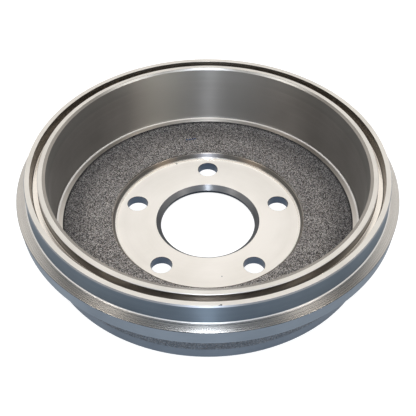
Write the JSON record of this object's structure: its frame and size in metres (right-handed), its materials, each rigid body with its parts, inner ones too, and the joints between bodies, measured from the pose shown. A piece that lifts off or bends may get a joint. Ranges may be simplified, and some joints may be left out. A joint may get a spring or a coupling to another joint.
{
  "type": "brake drum",
  "caption": "Cast-iron brake drum: a round pan with a turned braking wall, a drilled hub plate with a centre bore, a stiffening flange and a double lip with a water groove at its mouth.",
  "frame": {"origin": "centre of the wheel face, on the drum's axis", "axes": "+Z along the drum's axis, from the wheel face towards the open mouth; +Y through one stud hole"},
  "size_m": [0.2774, 0.2774, 0.0637],
  "materials": {
    "iron": "bare grey iron: bright fine-turned working faces, dark granular web and wall left as cast"
  },
  "bodies": {
    "root": {"brake_drum": "iron"}
  },
  "joints": []
}
